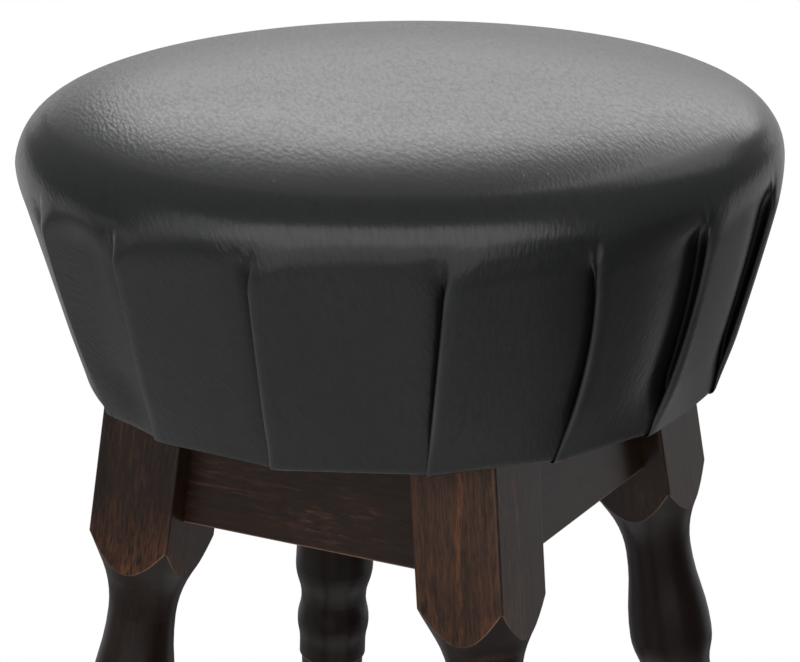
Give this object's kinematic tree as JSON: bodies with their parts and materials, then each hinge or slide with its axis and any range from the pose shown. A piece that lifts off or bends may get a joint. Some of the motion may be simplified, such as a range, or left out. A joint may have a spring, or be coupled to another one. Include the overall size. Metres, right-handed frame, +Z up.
{
  "type": "bar stool",
  "caption": "Tall bar stool with a deep round pleated vinyl seat on splayed turned wooden legs, joined by apron rails and a box of foot rails.",
  "frame": {"origin": "on the floor under the middle of the seat", "axes": "+Z up, -Y to the front, +X to the sitter's left"},
  "size_m": [0.36, 0.36, 0.76],
  "materials": {
    "cover_vinyl": "satin grained",
    "foam": "open cell",
    "plywood": "raw",
    "stained_beech": "dark stain under satin lacquer",
    "plain_beech": "raw",
    "zinc_steel": "zinc plated",
    "glide_plastic": "moulded"
  },
  "bodies": {
    "root": {"seat_cover": "cover_vinyl", "seat_foam": "foam", "seat_board": "plywood", "leg_front_right": "stained_beech", "leg_rear_right": "stained_beech", "leg_rear_left": "stained_beech", "leg_front_left": "stained_beech", "rail_front": "stained_beech", "rail_right": "stained_beech", "rail_rear": "stained_beech", "rail_left": "stained_beech", "stretcher_front": "stained_beech", "stretcher_right": "stained_beech", "stretcher_rear": "stained_beech", "stretcher_left": "stained_beech", "corner_block_front_right": "plain_beech", "corner_block_rear_right": "plain_beech", "corner_block_rear_left": "plain_beech", "corner_block_front_left": "plain_beech", "rail_dowels": "plain_beech", "stretcher_dowels": "plain_beech", "seat_screws": "zinc_steel", "block_screws": "zinc_steel", "floor_glides": "glide_plastic"}
  },
  "joints": []
}
